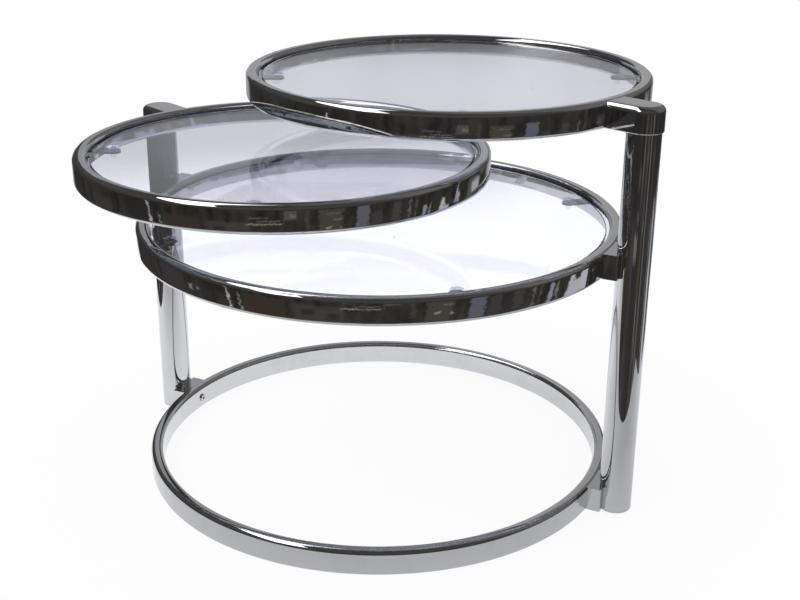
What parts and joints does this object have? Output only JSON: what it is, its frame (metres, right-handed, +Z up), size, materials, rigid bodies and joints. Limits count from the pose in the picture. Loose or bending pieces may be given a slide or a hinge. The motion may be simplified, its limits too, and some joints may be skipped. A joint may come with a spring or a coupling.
{
  "type": "swivel table",
  "caption": "Round chrome and glass occasional table: a fixed shelf between two posts and two smaller glass shelves that swing about the posts to stack or fan out.",
  "frame": {"origin": "on the floor at the centre of the base ring, midway between the posts", "axes": "+Z up; +X from the short post towards the tall post, so both posts stand on the X axis; +Y towards the far side, where the upper shelf points in the pictured pose"},
  "size_m": [0.6972, 0.6842, 0.506],
  "materials": {
    "chrome": "bright chrome plate",
    "clear_glass": "clear float glass, ground and polished edge",
    "clear_pad": "clear soft vinyl",
    "bush_nylon": "black nylon, moulded",
    "plain_steel": "zinc-plated steel, fine turned"
  },
  "bodies": {
    "frame": {"base_ring": "chrome", "middle_ring": "chrome", "left_post": "chrome", "right_post": "chrome", "left_post_foot": "chrome", "right_post_foot": "chrome", "base_left_spacer": "chrome", "base_right_spacer": "chrome", "middle_left_spacer": "chrome", "middle_right_spacer": "chrome", "middle_pad_lugs": "chrome", "middle_glass": "clear_glass", "middle_glass_pads": "clear_pad", "left_top_bush": "bush_nylon", "left_lower_bush": "bush_nylon", "right_top_bush": "bush_nylon", "right_lower_bush": "bush_nylon", "frame_screws": "plain_steel", "post_nuts": "plain_steel"},
    "lower_shelf": {"lower_ring": "chrome", "lower_hub": "chrome", "lower_pad_lugs": "chrome", "lower_glass": "clear_glass", "lower_glass_pads": "clear_pad", "lower_hub_screw": "plain_steel", "lower_spindle": "plain_steel", "lower_spindle_washer": "plain_steel", "lower_retaining_ring": "plain_steel"},
    "upper_shelf": {"upper_ring": "chrome", "upper_hub": "chrome", "upper_pad_lugs": "chrome", "upper_glass": "clear_glass", "upper_glass_pads": "clear_pad", "upper_hub_screw": "plain_steel", "upper_spindle": "plain_steel", "upper_spindle_washer": "plain_steel", "upper_retaining_ring": "plain_steel"}
  },
  "joints": [
    {"name": "lower_swivel", "type": "hinge", "parent": "frame", "child": "lower_shelf", "pos_m": [-0.3266, 0, 0.4064], "axis": [0, 0, 1], "continuous": true},
    {"name": "upper_swivel", "type": "hinge", "parent": "frame", "child": "upper_shelf", "pos_m": [0.3266, 0, 0.4754], "axis": [0, 0, 1], "continuous": true}
  ]
}
